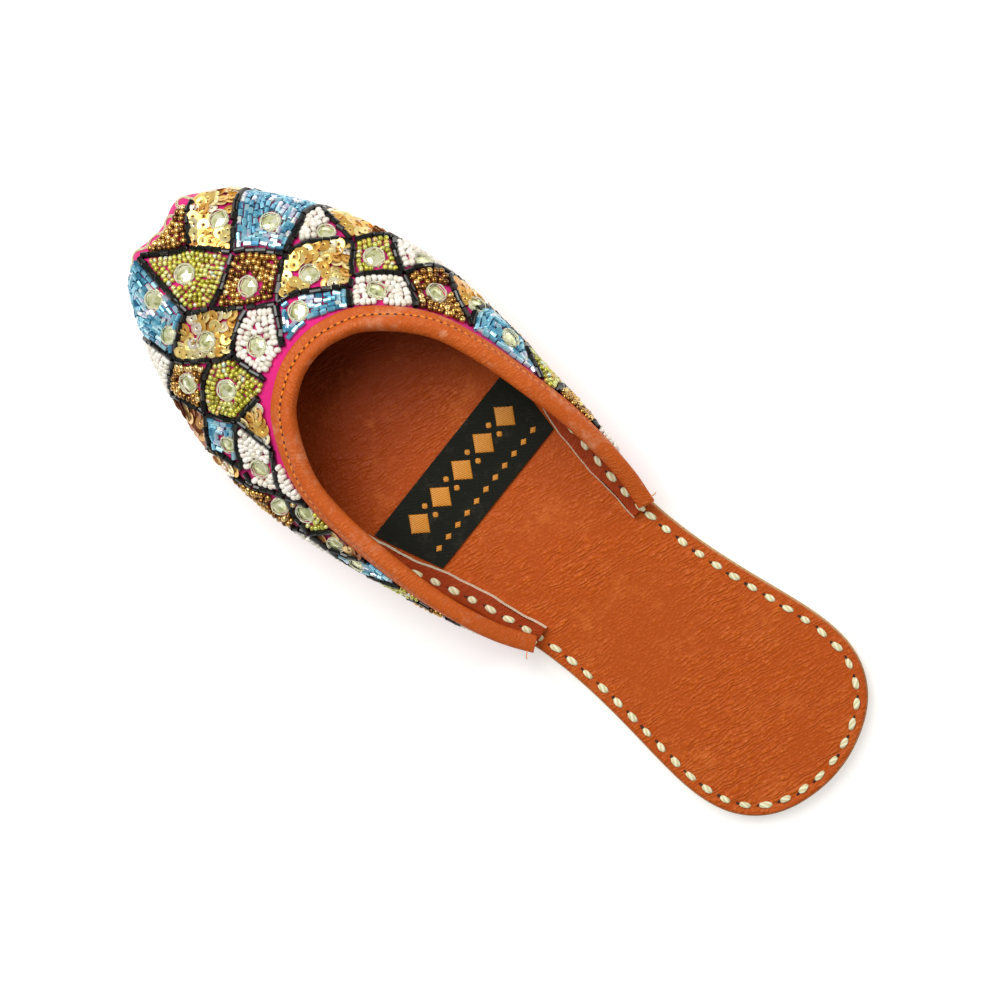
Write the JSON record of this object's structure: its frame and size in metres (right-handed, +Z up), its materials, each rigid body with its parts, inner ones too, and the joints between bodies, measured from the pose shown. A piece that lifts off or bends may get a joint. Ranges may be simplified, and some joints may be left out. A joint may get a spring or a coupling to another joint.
{
  "type": "mojari shoe",
  "caption": "Backless flat mojari mule: leather sole, cloth upper with a raised layer of beadwork, padded binding round the throat, band across the insole.",
  "frame": {"origin": "centre of the shoe's bounding box, on the ground under the outsole", "axes": "+Y towards the toe, +Z up, X across the shoe, which is the same on both sides of X = 0"},
  "size_m": [0.0878, 0.2516, 0.0416],
  "materials": {
    "sole_leather": "matt, raw cut edge",
    "tan_leather": "fine grain, semi matt",
    "binding_leather": "smooth, semi matt",
    "magenta_cloth": "plain weave, matt",
    "black_ribbon": "woven, matt",
    "bead_mix": "glass beads and metal sequins, glossy"
  },
  "bodies": {
    "root": {"outsole": "sole_leather", "insole": "tan_leather", "insole_band": "black_ribbon", "upper": "magenta_cloth", "binding": "binding_leather", "beadwork": "bead_mix"}
  },
  "joints": []
}
